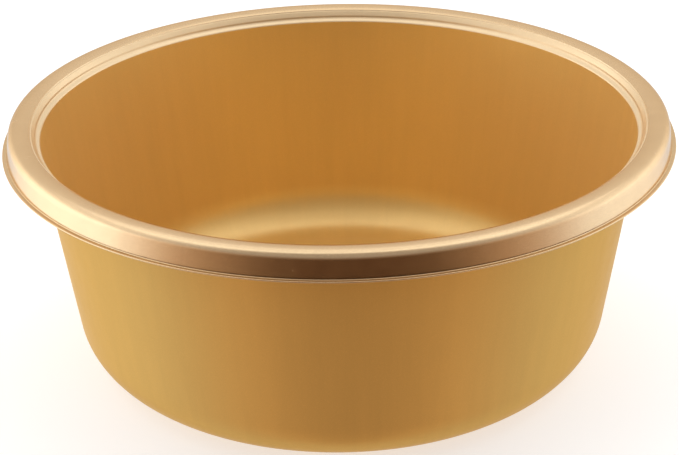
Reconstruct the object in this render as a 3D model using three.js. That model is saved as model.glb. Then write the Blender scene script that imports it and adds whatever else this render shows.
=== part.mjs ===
// Round household wash basin, moulded in one piece.
// The one moulding is divided into named zones: floor, foot, corner, wall and rim.
// Every zone is a ring or a disc turned about the Z axis, and neighbouring zones share
// the two edge circles where they meet. Millimetres, +Z up, standing on Z = 0.

import * as THREE from "three";

// ---- Driving dimensions ----

const turnSegments = 64;
const wallThickness = 2.2;

// Rim lip: the thin flange at the foot of the rim, and the widest circle of the basin.
const lipRadius = 190;
const lipUndersideHeight = 132.8;
const lipThickness = 0.8;
const lipEdgeRounding = 0.3;

// Side wall, measured on its outer face.
const wallRadiusAtLip = 170;
const wallDraft = 8;
const wallTopHeight = 136.3;
const wallInnerTopHeight = 138.7;
const cornerRadius = 33;

// Floor: a raised centre disc inside the flat ring that the basin stands on.
const discRadius = 104;
const discRise = 2.4;
const discStepWidth = 2.2;
const gateNubRadius = 4;
const gateNubHeight = 1;

// Rim crown: a shallow dome, with a tight corner outside it that turns down into the skirt.
const crownCentreRadius = 180.1;
const crownTopHeight = 146.7;
const crownRadius = 14;
const crownInnerTurn = 26;
const crownOuterTurn = 8;
const crownCornerRadius = 5;
const skirtFlare = 9.3;

// Rim shoulder, on its visible face: depths are below the crown's top.
const grooveRadius = 173.6;
const grooveDepth = 2.1;
const slopeTopRadius = 173.2;
const slopeTopDepth = 2;
const slopeFootRadius = 171.5;
const slopeFootDepth = 4.6;
const creaseRadius = 171.2;
const creaseDepth = 5.7;
const beadTopRadius = 170.6;
const beadTopDepth = 6.4;
const beadEdgeRadius = 168.95;
const beadEdgeDepth = 7.4;
const shoulderThickness = 2;

// ---- Outline helpers: a point is [radius, height] ----

const radians = (degrees) => (degrees * Math.PI) / 180;

// Points on an arc. Angles run from +radius towards +height.
function arc(centre, radius, startDegrees, endDegrees, steps) {
  return Array.from({ length: steps + 1 }, (_, i) => {
    const angle = radians(startDegrees + ((endDegrees - startDegrees) * i) / steps);
    return [centre[0] + radius * Math.cos(angle), centre[1] + radius * Math.sin(angle)];
  });
}

// A closed outline, turned about Z. Outlines run anticlockwise, so faces point out.
function turned(name, outline, material) {
  const onAxis = outline[0][0] === 0;
  const points = onAxis ? outline : [...outline, outline[0]];
  const geometry = new THREE.LatheGeometry(
    points.map(([radius, height]) => new THREE.Vector2(radius, height)),
    turnSegments,
  );
  geometry.rotateX(Math.PI / 2);
  const mesh = new THREE.Mesh(geometry, material);
  mesh.name = name;
  return mesh;
}

// ---- Side wall, corner and foot ----

const draftSlope = Math.tan(radians(wallDraft));

// The corner is one arc, tangent to the foot and to the wall.
const wallFootHeight = cornerRadius * (1 - Math.sin(radians(wallDraft)));
const wallFootRadius = wallRadiusAtLip - draftSlope * (lipUndersideHeight - wallFootHeight);
const footRadius = wallFootRadius - cornerRadius * Math.cos(radians(wallDraft));
const cornerCentre = [footRadius, cornerRadius];

// The corner's face, from the foot up to the wall, set in by a depth.
const cornerFace = (depth) => arc(cornerCentre, cornerRadius - depth, -90, -wallDraft, 8);

// A point on the wall's face at a height, set in by a depth.
function wallPoint(depth, height) {
  const radius = wallRadiusAtLip + draftSlope * (height - lipUndersideHeight);
  return [radius - depth / Math.cos(radians(wallDraft)), height];
}

const cornerOuter = cornerFace(0);
const cornerInner = cornerFace(wallThickness);
const wallTopOuter = wallPoint(0, wallTopHeight);
const wallTopInner = wallPoint(wallThickness, wallInnerTopHeight);

// ---- Rim crown and skirt ----

const crownCentre = [crownCentreRadius, crownTopHeight - crownRadius];
const cornerCentreOffset = crownRadius - crownCornerRadius;
const crownCornerCentre = [
  crownCentre[0] + cornerCentreOffset * Math.sin(radians(crownOuterTurn)),
  crownCentre[1] + cornerCentreOffset * Math.cos(radians(crownOuterTurn)),
];

// The crown's face from the skirt's top to the shoulder, set in by a depth.
function crownFace(depth) {
  return [
    ...arc(crownCornerCentre, crownCornerRadius - depth, skirtFlare, 90 - crownOuterTurn, 5),
    ...arc(crownCentre, crownRadius - depth, 90 - crownOuterTurn, 90 + crownInnerTurn, 5).slice(1),
  ];
}

const crownOuter = crownFace(0);
const crownInner = crownFace(wallThickness);
const lipTopHeight = lipUndersideHeight + lipThickness;
const flareSlope = Math.tan(radians(skirtFlare));

// The skirt drops in a straight line from a point on the crown to the lip.
function skirtFoot(top) {
  return [top[0] + flareSlope * (top[1] - lipTopHeight), lipTopHeight];
}

const skirtTopOuter = crownOuter[0];
const skirtTopInner = crownInner[0];
const skirtFootOuter = skirtFoot(skirtTopOuter);
const skirtFootInner = skirtFoot(skirtTopInner);
const crownEndOuter = crownOuter[crownOuter.length - 1];
const crownEndInner = crownInner[crownInner.length - 1];

// ---- Zones ----

const rimGold = { color: 0xe3bf8c, roughness: 0.22, metalness: 0.45 };
const bodyGold = { color: 0xc48a3a, roughness: 0.42, metalness: 0.35 };
const rimMaterial = () => new THREE.MeshStandardMaterial(rimGold);
const bodyMaterial = () => new THREE.MeshStandardMaterial(bodyGold);

// Raised centre of the floor, with the moulding gate's nub below it and the step down at its edge.
function floorDisc() {
  const stepFoot = discRadius + discStepWidth;
  const top = discRise + wallThickness;
  return turned("floor_disc", [
    [0, discRise - gateNubHeight],
    [gateNubRadius, discRise - gateNubHeight],
    [gateNubRadius, discRise],
    [discRadius - wallThickness, discRise],
    [stepFoot - wallThickness, 0],
    [stepFoot, 0],
    [stepFoot, wallThickness],
    [discRadius, top],
    [0, top],
  ], bodyMaterial());
}

// The flat ring around the disc, whose underside the basin stands on.
function footRing() {
  const innerRadius = discRadius + discStepWidth;
  return turned("foot_ring", [
    [innerRadius, 0],
    cornerOuter[0],
    cornerInner[0],
    [innerRadius, wallThickness],
  ], bodyMaterial());
}

function bottomCorner() {
  return turned("bottom_corner", [...cornerOuter, ...cornerInner.toReversed()], bodyMaterial());
}

function sideWall() {
  const foot = cornerOuter.length - 1;
  return turned("side_wall", [
    cornerOuter[foot],
    wallTopOuter,
    wallTopInner,
    cornerInner[foot],
  ], bodyMaterial());
}

// The band inside the crown: a fine groove, a steep slope, and a bead over the wall.
function rimShoulder() {
  const below = (depth) => crownTopHeight - depth;
  const slope = Math.atan2(slopeFootDepth - slopeTopDepth, slopeTopRadius - slopeFootRadius);
  const underSlopeFoot = [
    slopeFootRadius + shoulderThickness * Math.sin(slope),
    below(slopeFootDepth) - shoulderThickness * Math.cos(slope),
  ];
  return turned("rim_shoulder", [
    wallTopInner,
    wallTopOuter,
    underSlopeFoot,
    crownEndInner,
    crownEndOuter,
    [grooveRadius, below(grooveDepth)],
    [slopeTopRadius, below(slopeTopDepth)],
    [slopeFootRadius, below(slopeFootDepth)],
    [creaseRadius, below(creaseDepth)],
    [beadTopRadius, below(beadTopDepth)],
    [beadEdgeRadius, below(beadEdgeDepth)],
  ], rimMaterial());
}

function rimCrown() {
  return turned("rim_crown", [...crownOuter, ...crownInner.toReversed()], rimMaterial());
}

function rimSkirt() {
  return turned("rim_skirt", [
    skirtFootInner,
    skirtFootOuter,
    skirtTopOuter,
    skirtTopInner,
  ], rimMaterial());
}

// The thin out-turned flange under the skirt.
function rimLip() {
  return turned("rim_lip", [
    [skirtFootInner[0], lipUndersideHeight],
    [lipRadius - lipEdgeRounding, lipUndersideHeight],
    [lipRadius, lipUndersideHeight + lipThickness / 2],
    [lipRadius - lipEdgeRounding, lipTopHeight],
    skirtFootOuter,
    skirtFootInner,
  ], rimMaterial());
}

const basin = new THREE.Group();
basin.add(
  floorDisc(),
  footRing(),
  bottomCorner(),
  sideWall(),
  rimShoulder(),
  rimCrown(),
  rimSkirt(),
  rimLip(),
);

export default basin;
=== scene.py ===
import math

import bpy
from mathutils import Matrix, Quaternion, Vector


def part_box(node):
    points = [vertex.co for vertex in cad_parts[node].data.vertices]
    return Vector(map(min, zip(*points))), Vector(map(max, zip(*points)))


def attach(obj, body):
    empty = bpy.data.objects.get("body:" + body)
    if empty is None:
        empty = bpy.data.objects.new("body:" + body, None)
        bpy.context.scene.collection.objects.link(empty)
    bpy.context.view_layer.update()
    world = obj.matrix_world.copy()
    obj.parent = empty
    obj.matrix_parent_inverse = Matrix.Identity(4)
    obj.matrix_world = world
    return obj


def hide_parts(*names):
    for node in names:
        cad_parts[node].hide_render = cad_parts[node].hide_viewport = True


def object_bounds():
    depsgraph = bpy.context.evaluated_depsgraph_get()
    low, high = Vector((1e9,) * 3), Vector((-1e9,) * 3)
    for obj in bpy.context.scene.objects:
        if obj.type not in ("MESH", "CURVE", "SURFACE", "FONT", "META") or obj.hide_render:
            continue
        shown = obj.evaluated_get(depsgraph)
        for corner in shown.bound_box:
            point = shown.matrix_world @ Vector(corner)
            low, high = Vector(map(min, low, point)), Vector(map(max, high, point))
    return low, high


# A round household wash basin, moulded in one piece in pearlescent gold plastic.
# Each zone of the moulding is a smooth turned shell with its own named piece.

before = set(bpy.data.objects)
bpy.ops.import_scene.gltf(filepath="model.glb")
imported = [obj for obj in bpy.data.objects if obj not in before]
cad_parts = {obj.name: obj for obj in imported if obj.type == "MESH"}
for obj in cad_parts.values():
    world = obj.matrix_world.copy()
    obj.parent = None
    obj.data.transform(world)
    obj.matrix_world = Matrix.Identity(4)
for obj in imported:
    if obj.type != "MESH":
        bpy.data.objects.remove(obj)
cad_low, cad_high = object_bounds()

MM = 0.001


# ---- Camera ----

CAMERA_DISTANCE = 988 * MM
CAMERA_ELEVATION = 26.0
CAMERA_ROLL = -1.05
CAMERA_LENS = 88.9
AIM_SIDEWAYS = -0.6 * MM
AIM_HEIGHT = 69.6 * MM


def make_camera():
    data = bpy.data.cameras.new("camera")
    data.lens = CAMERA_LENS
    data.sensor_width = 36
    data.clip_start = 0.05
    camera = bpy.data.objects.new("camera", data)
    bpy.context.scene.collection.objects.link(camera)
    elevation = math.radians(CAMERA_ELEVATION)
    back = Vector((0, -math.cos(elevation), math.sin(elevation)))
    centre = (cad_low + cad_high) / 2
    aim = Vector((centre.x + AIM_SIDEWAYS, centre.y, cad_low.z + AIM_HEIGHT))
    camera.location = aim + back * CAMERA_DISTANCE
    camera.rotation_mode = "QUATERNION"
    roll = Quaternion((0, 0, 1), math.radians(CAMERA_ROLL))
    camera.rotation_quaternion = (-back).to_track_quat("-Z", "Y") @ roll
    bpy.context.scene.camera = camera


make_camera()


# ---- Basin dimensions, in millimetres and degrees ----

lip_radius = cad_high.x / MM
crown_top = cad_high.z / MM
lip_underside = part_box("rim_lip")[0].z / MM
lip_thickness = 0.8
lip_fillet = 0.8
wall_thickness = 2.2

# Side wall and corner.
wall_radius_at_lip = 170.0
wall_draft = 8.0
wall_top = 136.3
wall_inner_top = 138.7
corner_radius = 33.0

# Floor: a raised disc, with the nub of the moulding gate under it.
disc_radius = 104.0
disc_rise = 2.4
disc_step = 2.2
gate_nub_radius = 4.0
gate_nub_foot_radius = 3.4
gate_nub_height = 1.0

# Rim crown and skirt.
crown_centre_radius = 180.1
crown_radius = 14.0
crown_inner_turn = 26.0
crown_outer_turn = 8.0
crown_corner_radius = 5.0
skirt_flare = 9.3

# Rim shoulder: depths are below the crown's top.
groove_radius = 173.6
groove_depth = 2.1
slope_top_radius = 173.2
slope_top_depth = 2.0
slope_foot_radius = 171.5
slope_foot_depth = 4.6
crease_radius = 171.2
crease_depth = 5.7
bead_top_radius = 170.6
bead_top_depth = 6.4
bead_edge_radius = 168.95
bead_edge_depth = 7.4
shoulder_thickness = 2.0


# ---- Outline helpers: a point is (radius, height) in millimetres ----

def cos(degrees):
    return math.cos(math.radians(degrees))


def sin(degrees):
    return math.sin(math.radians(degrees))


def tan(degrees):
    return math.tan(math.radians(degrees))


def arc(centre, radius, start, end, steps):
    """Points on an arc, from one angle to another, measured from +radius towards +height."""
    angles = [start + (end - start) * i / steps for i in range(steps + 1)]
    return [(centre[0] + radius * cos(angle), centre[1] + radius * sin(angle)) for angle in angles]


def rounded(points, radius, steps=6):
    """The open line through the points, with each inner corner rounded to the radius."""
    line = [points[0]]
    for before, corner, after in zip(points, points[1:], points[2:]):
        corner = Vector(corner)
        back, on = Vector(before) - corner, Vector(after) - corner
        half = back.angle(on) / 2
        reach = min(radius / math.tan(half), 0.49 * back.length, 0.49 * on.length)
        start = corner + back.normalized() * reach
        end = corner + on.normalized() * reach
        for i in range(steps + 1):
            t = i / steps
            line.append(tuple(start * (1 - t) ** 2 + corner * 2 * t * (1 - t) + end * t ** 2))
    line.append(points[-1])
    return line


def straight(start, end, steps):
    """Points along a straight line, both ends included."""
    a, b = Vector(start), Vector(end)
    return [tuple(a.lerp(b, i / steps)) for i in range(steps + 1)]


# ---- Wall and corner outlines ----

wall_foot_height = corner_radius * (1 - sin(wall_draft))
wall_foot_radius = wall_radius_at_lip - tan(wall_draft) * (lip_underside - wall_foot_height)
foot_radius = wall_foot_radius - corner_radius * cos(wall_draft)


def corner_face(depth):
    """The corner's face from the foot up to the wall, set in by a depth."""
    return arc((foot_radius, corner_radius), corner_radius - depth, -90, -wall_draft, 36)


def wall_point(depth, height):
    """A point on the wall's face at a height, set in by a depth."""
    radius = wall_radius_at_lip + tan(wall_draft) * (height - lip_underside)
    return (radius - depth / cos(wall_draft), height)


corner_outer = corner_face(0)
corner_inner = corner_face(wall_thickness)
wall_top_outer = wall_point(0, wall_top)
wall_top_inner = wall_point(wall_thickness, wall_inner_top)


# ---- Rim outlines ----

crown_centre = (crown_centre_radius, crown_top - crown_radius)
corner_offset = crown_radius - crown_corner_radius
crown_corner_centre = (
    crown_centre[0] + corner_offset * sin(crown_outer_turn),
    crown_centre[1] + corner_offset * cos(crown_outer_turn),
)


def crown_face(depth):
    """The crown's face from the skirt's top to the shoulder, set in by a depth."""
    join = 90 - crown_outer_turn
    corner = arc(crown_corner_centre, crown_corner_radius - depth, skirt_flare, join, 14)
    dome = arc(crown_centre, crown_radius - depth, join, 90 + crown_inner_turn, 26)
    return corner + dome[1:]


crown_outer = crown_face(0)
crown_inner = crown_face(wall_thickness)
lip_top = lip_underside + lip_thickness


def skirt_foot(top):
    """Where the skirt's face, which drops in a straight line from the top, meets the lip."""
    return (top[0] + tan(skirt_flare) * (top[1] - lip_top), lip_top)


skirt_foot_outer = skirt_foot(crown_outer[0])
skirt_foot_inner = skirt_foot(crown_inner[0])


# ---- Turned shells ----

TURNS = 360
SHARP_ANGLE = 32


def turned(name, outline):
    """A closed mesh: a closed outline turned about Z.

    An outline that starts at radius 0 ends there too, and is closed on the axis.
    """
    on_axis = outline[0][0] == 0
    vertices, rings = [], []
    for radius, height in outline:
        first = len(vertices)
        if radius == 0:
            rings.append([first] * TURNS)
            vertices.append((0, 0, height * MM))
            continue
        rings.append(list(range(first, first + TURNS)))
        for i in range(TURNS):
            angle = 2 * math.pi * i / TURNS
            x, y = radius * math.cos(angle), radius * math.sin(angle)
            vertices.append((x * MM, y * MM, height * MM))
    pairs = list(zip(rings, rings[1:]))
    if not on_axis:
        pairs.append((rings[-1], rings[0]))
    faces = []
    for low, high in pairs:
        for i in range(TURNS):
            j = (i + 1) % TURNS
            corners = (low[i], low[j], high[j], high[i])
            faces.append(tuple(dict.fromkeys(corners)))
    mesh = bpy.data.meshes.new(name)
    mesh.from_pydata(vertices, [], faces)
    mesh.validate()
    mesh.shade_smooth()
    mesh.set_sharp_from_angle(angle=math.radians(SHARP_ANGLE))
    piece = bpy.data.objects.new(name, mesh)
    bpy.context.scene.collection.objects.link(piece)
    return piece


def floor_disc():
    """The raised centre of the floor, with the step down at its edge and the gate's nub below."""
    by_axis = 0.01
    top = disc_rise + wall_thickness
    nub = disc_rise - gate_nub_height
    step_foot = disc_radius + disc_step
    under = rounded([
        (by_axis, nub),
        (gate_nub_foot_radius, nub),
        (gate_nub_radius, disc_rise),
        (disc_radius - wall_thickness, disc_rise),
        (step_foot - wall_thickness, 0),
        (step_foot, 0),
    ], 0.9)
    over = rounded([
        (step_foot, wall_thickness),
        (disc_radius + disc_step * 0.8, wall_thickness),
        (disc_radius, top),
        (by_axis, top),
    ], 1.6, steps=10)
    return turned("floor_disc_shell", [(0, nub)] + under[1:] + over[:-1] + [(0, top)])


def foot_ring():
    """The flat ring around the disc, which the basin stands on."""
    inner = disc_radius + disc_step
    under = straight((inner, 0), (foot_radius, 0), 3)
    over = straight((foot_radius, wall_thickness), (inner, wall_thickness), 3)
    return turned("foot_ring_shell", under + over)


def bottom_corner():
    return turned("bottom_corner_shell", corner_outer + corner_inner[::-1])


def side_wall():
    outer = straight(corner_outer[-1], wall_top_outer, 12)
    inner = straight(wall_top_inner, corner_inner[-1], 12)
    return turned("side_wall_shell", outer + inner)


def rim_shoulder():
    """The band inside the crown: a fine groove, a steep slope, and a bead over the wall."""
    slope_top = (slope_top_radius, crown_top - slope_top_depth)
    slope_foot = (slope_foot_radius, crown_top - slope_foot_depth)
    slope = math.atan2(slope_top[1] - slope_foot[1], slope_top[0] - slope_foot[0])
    under_slope_foot = (
        slope_foot[0] + shoulder_thickness * math.sin(slope),
        slope_foot[1] - shoulder_thickness * math.cos(slope),
    )
    face = rounded([
        crown_outer[-1],
        (groove_radius, crown_top - groove_depth),
        slope_top,
        slope_foot,
        (crease_radius, crown_top - crease_depth),
        (bead_top_radius, crown_top - bead_top_depth),
        (bead_edge_radius, crown_top - bead_edge_depth),
        wall_top_inner,
    ], 0.9)
    under = rounded([wall_top_outer, under_slope_foot, crown_inner[-1]], 1.5)
    return turned("rim_shoulder_shell", under + face)


def rim_crown():
    return turned("rim_crown_shell", crown_outer + crown_inner[::-1])


def rim_skirt():
    outer = straight(skirt_foot_outer, crown_outer[0], 8)
    inner = straight(crown_inner[0], skirt_foot_inner, 8)
    return turned("rim_skirt_shell", outer + inner)


def rim_lip():
    """The flange, with a small fillet that runs up onto the foot of the skirt."""
    half = lip_thickness / 2
    edge = arc((lip_radius - half, lip_underside + half), half, -90, 90, 10)
    foot = skirt_foot_outer
    on_lip = (foot[0] + 1.05 * lip_fillet, lip_top)
    on_skirt = (foot[0] - tan(skirt_flare) * lip_fillet, foot[1] + lip_fillet)
    fillet = rounded([on_lip, foot, on_skirt], lip_fillet * 0.9)
    under = [(skirt_foot_inner[0], lip_underside)]
    return turned("rim_lip_shell", under + edge + fillet + [foot, skirt_foot_inner])


# ---- Node trees ----

class Nodes:
    """A short way to build the node tree of a material or a world."""

    def __init__(self, owner):
        self.tree = owner.node_tree
        self.shader = self.tree.nodes.get("Principled BSDF")

    def add(self, kind, inputs=None, **settings):
        node = self.tree.nodes.new(kind)
        for key, value in settings.items():
            setattr(node, key, value)
        for key, value in (inputs or {}).items():
            self.join(node.inputs[key], value)
        return node

    def join(self, socket, value):
        """Link the socket to another one, or give it a plain value."""
        if isinstance(value, bpy.types.NodeSocket):
            self.tree.links.new(value, socket)
        else:
            socket.default_value = value

    def show(self, shader):
        """Make this shader the material's surface."""
        self.join(self.tree.nodes["Material Output"].inputs["Surface"], shader)

    def math(self, operation, a, b=0.0):
        return self.add("ShaderNodeMath", {0: a, 1: b}, operation=operation).outputs[0]

    def length(self, x, y):
        squares = self.math("ADD", self.math("MULTIPLY", x, x), self.math("MULTIPLY", y, y))
        return self.math("SQRT", squares)

    def xyz(self, vector):
        return self.add("ShaderNodeSeparateXYZ", {0: vector}).outputs

    def noise(self, vector, scale, detail=2.0, roughness=0.5, distortion=0.0):
        inputs = {
            "Vector": vector,
            "Scale": scale,
            "Detail": detail,
            "Roughness": roughness,
            "Distortion": distortion,
        }
        return self.add("ShaderNodeTexNoise", inputs).outputs["Fac"]

    def span(self, value, low, high, to_low, to_high):
        """The value moved in a straight line from one range to another, and held within it."""
        inputs = {
            "Value": value,
            "From Min": low,
            "From Max": high,
            "To Min": to_low,
            "To Max": to_high,
        }
        return self.add("ShaderNodeMapRange", inputs).outputs["Result"]

    def smooth(self, value, low, high):
        """0 at low, 1 at high, with an even start and end."""
        inputs = {"Value": value, "From Min": low, "From Max": high}
        node = self.add("ShaderNodeMapRange", inputs, interpolation_type="SMOOTHSTEP")
        return node.outputs["Result"]

    def around(self, value, centre, outer, inner):
        """1 within the inner distance of a centre, and 0 past the outer one."""
        return self.smooth(self.math("ABSOLUTE", self.math("SUBTRACT", value, centre)), outer, inner)

    def scaled(self, colour, factor):
        """A plain colour, made lighter or darker by a factor."""
        grey = self.add("ShaderNodeCombineXYZ", {0: factor, 1: factor, 2: factor}).outputs[0]
        node = self.add("ShaderNodeVectorMath", {0: grey, 1: colour}, operation="MULTIPLY")
        return node.outputs[0]

    def mix(self, share, a, b):
        node = self.add("ShaderNodeMix", data_type="RGBA")
        self.join(node.inputs["Factor"], share)
        self.join(node.inputs["A"], a)
        self.join(node.inputs["B"], b)
        return node.outputs["Result"]


# ---- Materials ----

# Most of a noise's values lie in this range.
NOISE_LOW, NOISE_HIGH = 0.3, 0.7

PLASTIC_IOR = 1.49

# How much the tone changes over the flow lines, and how much a flake sparks.
TONE_LOW, TONE_HIGH = 0.97, 1.03
SPARK = 1.25

# Roughness: how far it wanders, and what the worst scuffs add to it.
GLOSS_SPREAD = 0.03
SCUFF = 0.06

# A face counts as upright below the first height of its normal, and as looking up past the second.
UPRIGHT, LOOKING_UP = 0.25, 0.85

GRAIN_DEPTH = 0.2 * MM
GRAIN_STRENGTH = 0.12
ORANGE_PEEL = 0.25


def gold_tone(n, place):
    """The plastic's uneven tone: flow lines that fan out from the gate, and broad clouds."""
    x, y, z = n.xyz(place)
    angle = n.math("ARCTAN2", y, x)
    out = n.math("ADD", n.length(x, y), z)
    fan = n.add("ShaderNodeCombineXYZ", {
        0: n.math("MULTIPLY", n.math("COSINE", angle), 9.0),
        1: n.math("MULTIPLY", n.math("SINE", angle), 9.0),
        2: n.math("MULTIPLY", out, 5.0),
    }).outputs[0]
    flow = n.noise(fan, 2.4, detail=3.0, roughness=0.55)
    cloud = n.noise(place, 14.0)
    shade = n.math("ADD", n.math("MULTIPLY", flow, 0.55), n.math("MULTIPLY", cloud, 0.45))
    return n.span(shade, NOISE_LOW, NOISE_HIGH, TONE_LOW, TONE_HIGH)


def worn_roughness(n, place, roughness):
    """A roughness that wanders a little, with fine scuffs where it is higher."""
    stretched = n.add("ShaderNodeMapping", {"Vector": place, "Scale": (1.0, 1.0, 3.0)}).outputs[0]
    scuffs = n.noise(stretched, 55.0, detail=6.0, roughness=0.75, distortion=1.8)
    wear = n.span(scuffs, 0.60, 0.85, 0.0, SCUFF)
    wander = n.noise(place, 120.0, detail=3.0)
    low, high = roughness - GLOSS_SPREAD, roughness + GLOSS_SPREAD
    return n.math("ADD", n.span(wander, NOISE_LOW, NOISE_HIGH, low, high), wear)


def mould_grain(n, place, grain):
    """The bump of the mould's fine texture, over a faint orange peel."""
    fine = n.noise(place, 1500.0, detail=3.0, roughness=0.6)
    orange_peel = n.noise(place, 210.0, detail=1.0)
    height = n.math(
        "ADD", n.math("MULTIPLY", fine, grain), n.math("MULTIPLY", orange_peel, ORANGE_PEEL)
    )
    inputs = {"Strength": GRAIN_STRENGTH, "Distance": GRAIN_DEPTH, "Height": height}
    return n.add("ShaderNodeBump", inputs).outputs[0]


def gold_plastic(
    name, pigment, flake_colour, flake_share, roughness, skin_gloss, coat, coat_roughness, grain
):
    """Pearlescent plastic: a gold pigment with pale mica flake in it, under a clear skin.

    The skin's coat is given for upright faces and for faces that look up, which are wiped smoother.
    """
    material = bpy.data.materials.new(name)
    material.use_nodes = True
    n = Nodes(material)
    place = n.add("ShaderNodeTexCoord").outputs["Object"]

    tone = gold_tone(n, place)
    spark = n.span(n.noise(place, 2600.0, detail=1.0, roughness=0.7), 0.5, 0.8, 1.0, SPARK)
    flake = n.add("ShaderNodeBsdfPrincipled", {"Metallic": 1.0})
    n.join(n.shader.inputs["Base Color"], n.scaled(pigment, tone))
    n.join(flake.inputs["Base Color"], n.scaled(flake_colour, n.math("MULTIPLY", tone, spark)))

    rough = worn_roughness(n, place, roughness)
    bump = mould_grain(n, place, grain)
    facing = n.xyz(n.add("ShaderNodeNewGeometry").outputs["Normal"])[2]
    film = n.span(n.smooth(facing, UPRIGHT, LOOKING_UP), 0.0, 1.0, *coat)
    for shader in (n.shader, flake):
        n.join(shader.inputs["Roughness"], rough)
        n.join(shader.inputs["Normal"], bump)
        n.join(shader.inputs["Coat Weight"], film)
        shader.inputs["IOR"].default_value = PLASTIC_IOR
        shader.inputs["Specular IOR Level"].default_value = skin_gloss
        shader.inputs["Specular Tint"].default_value = (*flake_colour, 1)
        shader.inputs["Coat Roughness"].default_value = coat_roughness
    blend = {0: flake_share, 1: n.shader.outputs[0], 2: flake.outputs[0]}
    n.show(n.add("ShaderNodeMixShader", blend).outputs[0])
    return material


def body_gold():
    """The satin gold of the floor, the corner and the wall."""
    return gold_plastic(
        "body_gold",
        pigment=(0.775, 0.49, 0.16),
        flake_colour=(0.80, 0.54, 0.17),
        flake_share=0.42,
        roughness=0.34,
        skin_gloss=0.1,
        coat=(0.0, 1.0),
        coat_roughness=0.3,
        grain=1.0,
    )


def rim_gold():
    """The paler, glossier gold of the polished rim."""
    return gold_plastic(
        "rim_gold",
        pigment=(0.42, 0.15, 0.04),
        flake_colour=(0.78, 0.60, 0.36),
        flake_share=0.72,
        roughness=0.24,
        skin_gloss=0.3,
        coat=(0.9, 0.25),
        coat_roughness=0.14,
        grain=0.25,
    )


def shoulder_gold_painted_light():
    """The gold of the rim's shoulder, which is less mirror-like than the crown. Its paler pigment is
    painted light: it is the same plastic as the body, made lighter to stand in for the light the
    shoulder catches from above.
    """
    return gold_plastic(
        "shoulder_gold_painted_light",
        # Paler than the body's pigment: painted light on the shoulder, not a different plastic.
        pigment=(0.80, 0.60, 0.36),
        flake_colour=(0.80, 0.63, 0.40),
        flake_share=0.45,
        roughness=0.32,
        skin_gloss=0.2,
        coat=(0.1, 0.3),
        coat_roughness=0.2,
        grain=0.25,
    )


# ---- Pieces ----

def fit(piece, material, node):
    piece.data.materials.append(material)
    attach(piece, "root")
    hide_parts(node)


def make_basin():
    # The shoulder's material is a paler copy of the gold, which paints light onto the rim's
    # shoulder.
    body, rim, shoulder = body_gold(), rim_gold(), shoulder_gold_painted_light()
    fit(floor_disc(), body, "floor_disc")
    fit(foot_ring(), body, "foot_ring")
    fit(bottom_corner(), body, "bottom_corner")
    fit(side_wall(), body, "side_wall")
    fit(rim_shoulder(), shoulder, "rim_shoulder")
    fit(rim_crown(), rim, "rim_crown")
    fit(rim_skirt(), rim, "rim_skirt")
    fit(rim_lip(), rim, "rim_lip")


make_basin()


# ---- Floor ----

FLOOR_SIZE = 12.0
FLOOR_GAP = 0.2 * MM
FLOOR_GREY = 0.62
FLOOR_GLOW = 0.56
WHITE = (1, 1, 1, 1)


def make_floor():
    """A plain pale floor with a faint contact shadow.

    From below it is clear, so that the underside can be seen.
    """
    half = FLOOR_SIZE / 2
    mesh = bpy.data.meshes.new("floor")
    corners = [(-half, -half, 0), (half, -half, 0), (half, half, 0), (-half, half, 0)]
    mesh.from_pydata(corners, [], [(0, 1, 2, 3)])
    floor = bpy.data.objects.new("floor", mesh)
    floor.location.z = cad_low.z - FLOOR_GAP
    bpy.context.scene.collection.objects.link(floor)
    material = bpy.data.materials.new("floor_pale")
    material.use_nodes = True
    n = Nodes(material)
    n.shader.inputs["Base Color"].default_value = (FLOOR_GREY, FLOOR_GREY, FLOOR_GREY, 1)
    n.shader.inputs["Roughness"].default_value = 0.9
    n.shader.inputs["Specular IOR Level"].default_value = 0.1
    glow = n.add("ShaderNodeEmission", {"Color": WHITE, "Strength": FLOOR_GLOW})
    lit = n.add("ShaderNodeAddShader", {0: n.shader.outputs[0], 1: glow.outputs[0]}).outputs[0]
    clear = n.add("ShaderNodeBsdfTransparent").outputs[0]
    under = n.add("ShaderNodeNewGeometry").outputs["Backfacing"]
    n.show(n.add("ShaderNodeMixShader", {0: under, 1: lit, 2: clear}).outputs[0])
    mesh.materials.append(material)
    for ray in ("visible_diffuse", "visible_glossy", "visible_transmission", "visible_shadow"):
        setattr(floor, ray, False)


# ---- Light ----
# A direction in the tent has a height from -1 to 1, and a share from -1 to 1 of how far round it
# points to the front. A pair of limits says where a light starts and where it is full.

TENT_LIGHT = 0.86
UPPER_LIGHT = 1.3
UPPER_HEIGHTS = (-0.1, 0.5)

# The tent's walls are dimmer towards the front, and in a broad band at the back.
FRONT_SHARE = 0.36
FRONT_LIMITS = (-0.3, 0.9)
BACK_SHARE = 0.74
BACK_LIMITS = (-0.5, -1.0)
BACK_HEIGHT = 0.6
BACK_SPREAD = (0.72, 0.25)

# A bright panel on each side, close to the height of the basin.
PANEL_LEFT = 1.2
PANEL_RIGHT = 0.68
PANEL_LIMITS = (0.4, 0.92)
PANEL_SPREAD = (0.6, 0.2)

# The dim gap at the front, where the camera stands. It faces a little to the right.
GAP_TURN = 0.07
GAP_LIMITS = (0.05, 0.72)
GAP_HEIGHTS = (0.75, 0.15)
GAP_LIGHT = 0.05
GAP_EDGE_LIGHT = 0.5
GAP_EDGE_LIMITS = (1.0, 0.55)
GAP_LOW_LIGHT = 0.42
GAP_LOW_HEIGHTS = (-0.25, -0.62)
GAP_COLOUR = (1.0, 0.66, 0.42, 1)

# The softbox over the basin, and the brightness of its face.
BOX_HEIGHT = 0.72
BOX_FRONT = -0.27
BOX_BACK = 0.55
BOX_WIDTH = 1.1
BOX_LIGHT = 0.42


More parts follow.
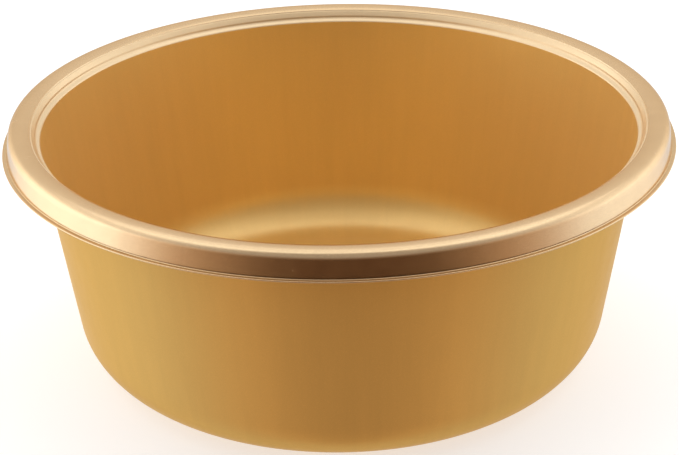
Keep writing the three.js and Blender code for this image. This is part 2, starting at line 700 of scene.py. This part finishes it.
def tent_light(n, x, z, to_front, level):
    """The tent away from the gap: its walls, and a panel on each side."""
    upper = n.span(n.smooth(z, *UPPER_HEIGHTS), 0.0, 1.0, TENT_LIGHT, UPPER_LIGHT)
    front = n.span(n.smooth(to_front, *FRONT_LIMITS), 0.0, 1.0, 1.0, FRONT_SHARE)
    walls = n.math("MULTIPLY", upper, front)
    back = n.math(
        "MULTIPLY", n.smooth(to_front, *BACK_LIMITS), n.around(z, BACK_HEIGHT, *BACK_SPREAD)
    )
    walls = n.math("MULTIPLY", walls, n.span(back, 0.0, 1.0, 1.0, BACK_SHARE))
    to_side = n.math("DIVIDE", n.math("ABSOLUTE", x), level)
    panels = n.math("MULTIPLY", n.smooth(to_side, *PANEL_LIMITS), n.around(z, 0.0, *PANEL_SPREAD))
    panels = n.math("MULTIPLY", panels, n.span(x, -1.0, 1.0, PANEL_LEFT, PANEL_RIGHT))
    return n.math("ADD", panels, walls)


def gap_light(n, z, to_front):
    """The gap at the front: nearly dark, with some light at its edges and from the floor."""
    edge = n.math("MULTIPLY", n.smooth(to_front, *GAP_EDGE_LIMITS), GAP_EDGE_LIGHT)
    low = n.math("MULTIPLY", n.smooth(z, *GAP_LOW_HEIGHTS), GAP_LOW_LIGHT)
    return n.math("ADD", n.math("ADD", low, GAP_LIGHT), edge)


def make_world():
    """A soft light tent with a dim warm gap at the front. The camera itself sees plain white."""
    world = bpy.data.worlds.new("studio")
    world.use_nodes = True
    bpy.context.scene.world = world
    n = Nodes(world)
    x, y, z = n.xyz(n.add("ShaderNodeTexCoord").outputs["Generated"])
    level = n.math("MAXIMUM", n.length(x, y), 0.001)
    turned_front = n.math("SUBTRACT", n.math("MULTIPLY", x, GAP_TURN), y)
    to_front = n.math("DIVIDE", turned_front, level)

    gap = n.math("MULTIPLY", n.smooth(to_front, *GAP_LIMITS), n.smooth(z, *GAP_HEIGHTS))
    tent = n.math(
        "MULTIPLY", tent_light(n, x, z, to_front, level), n.math("SUBTRACT", 1.0, gap)
    )
    dim = n.math("MULTIPLY", gap_light(n, z, to_front), gap)
    light = n.math("ADD", tent, dim)
    colour = n.mix(gap, WHITE, GAP_COLOUR)

    seen = n.add("ShaderNodeLightPath").outputs["Is Camera Ray"]
    background = n.tree.nodes["Background"]
    n.join(background.inputs["Color"], n.mix(seen, colour, WHITE))
    n.join(background.inputs["Strength"], n.math("MAXIMUM", light, seen))


def make_softbox():
    """A soft light box over the basin that reaches a little in front of it."""
    light = bpy.data.lights.new("softbox", "AREA")
    light.shape = "RECTANGLE"
    light.size = BOX_WIDTH
    light.size_y = BOX_BACK - BOX_FRONT
    light.energy = math.pi * light.size * light.size_y * BOX_LIGHT
    box = bpy.data.objects.new("softbox", light)
    box.location = (0, (BOX_FRONT + BOX_BACK) / 2, BOX_HEIGHT)
    box.visible_camera = False
    bpy.context.scene.collection.objects.link(box)


make_floor()
make_world()
make_softbox()
bpy.context.scene.view_settings.view_transform = "Standard"
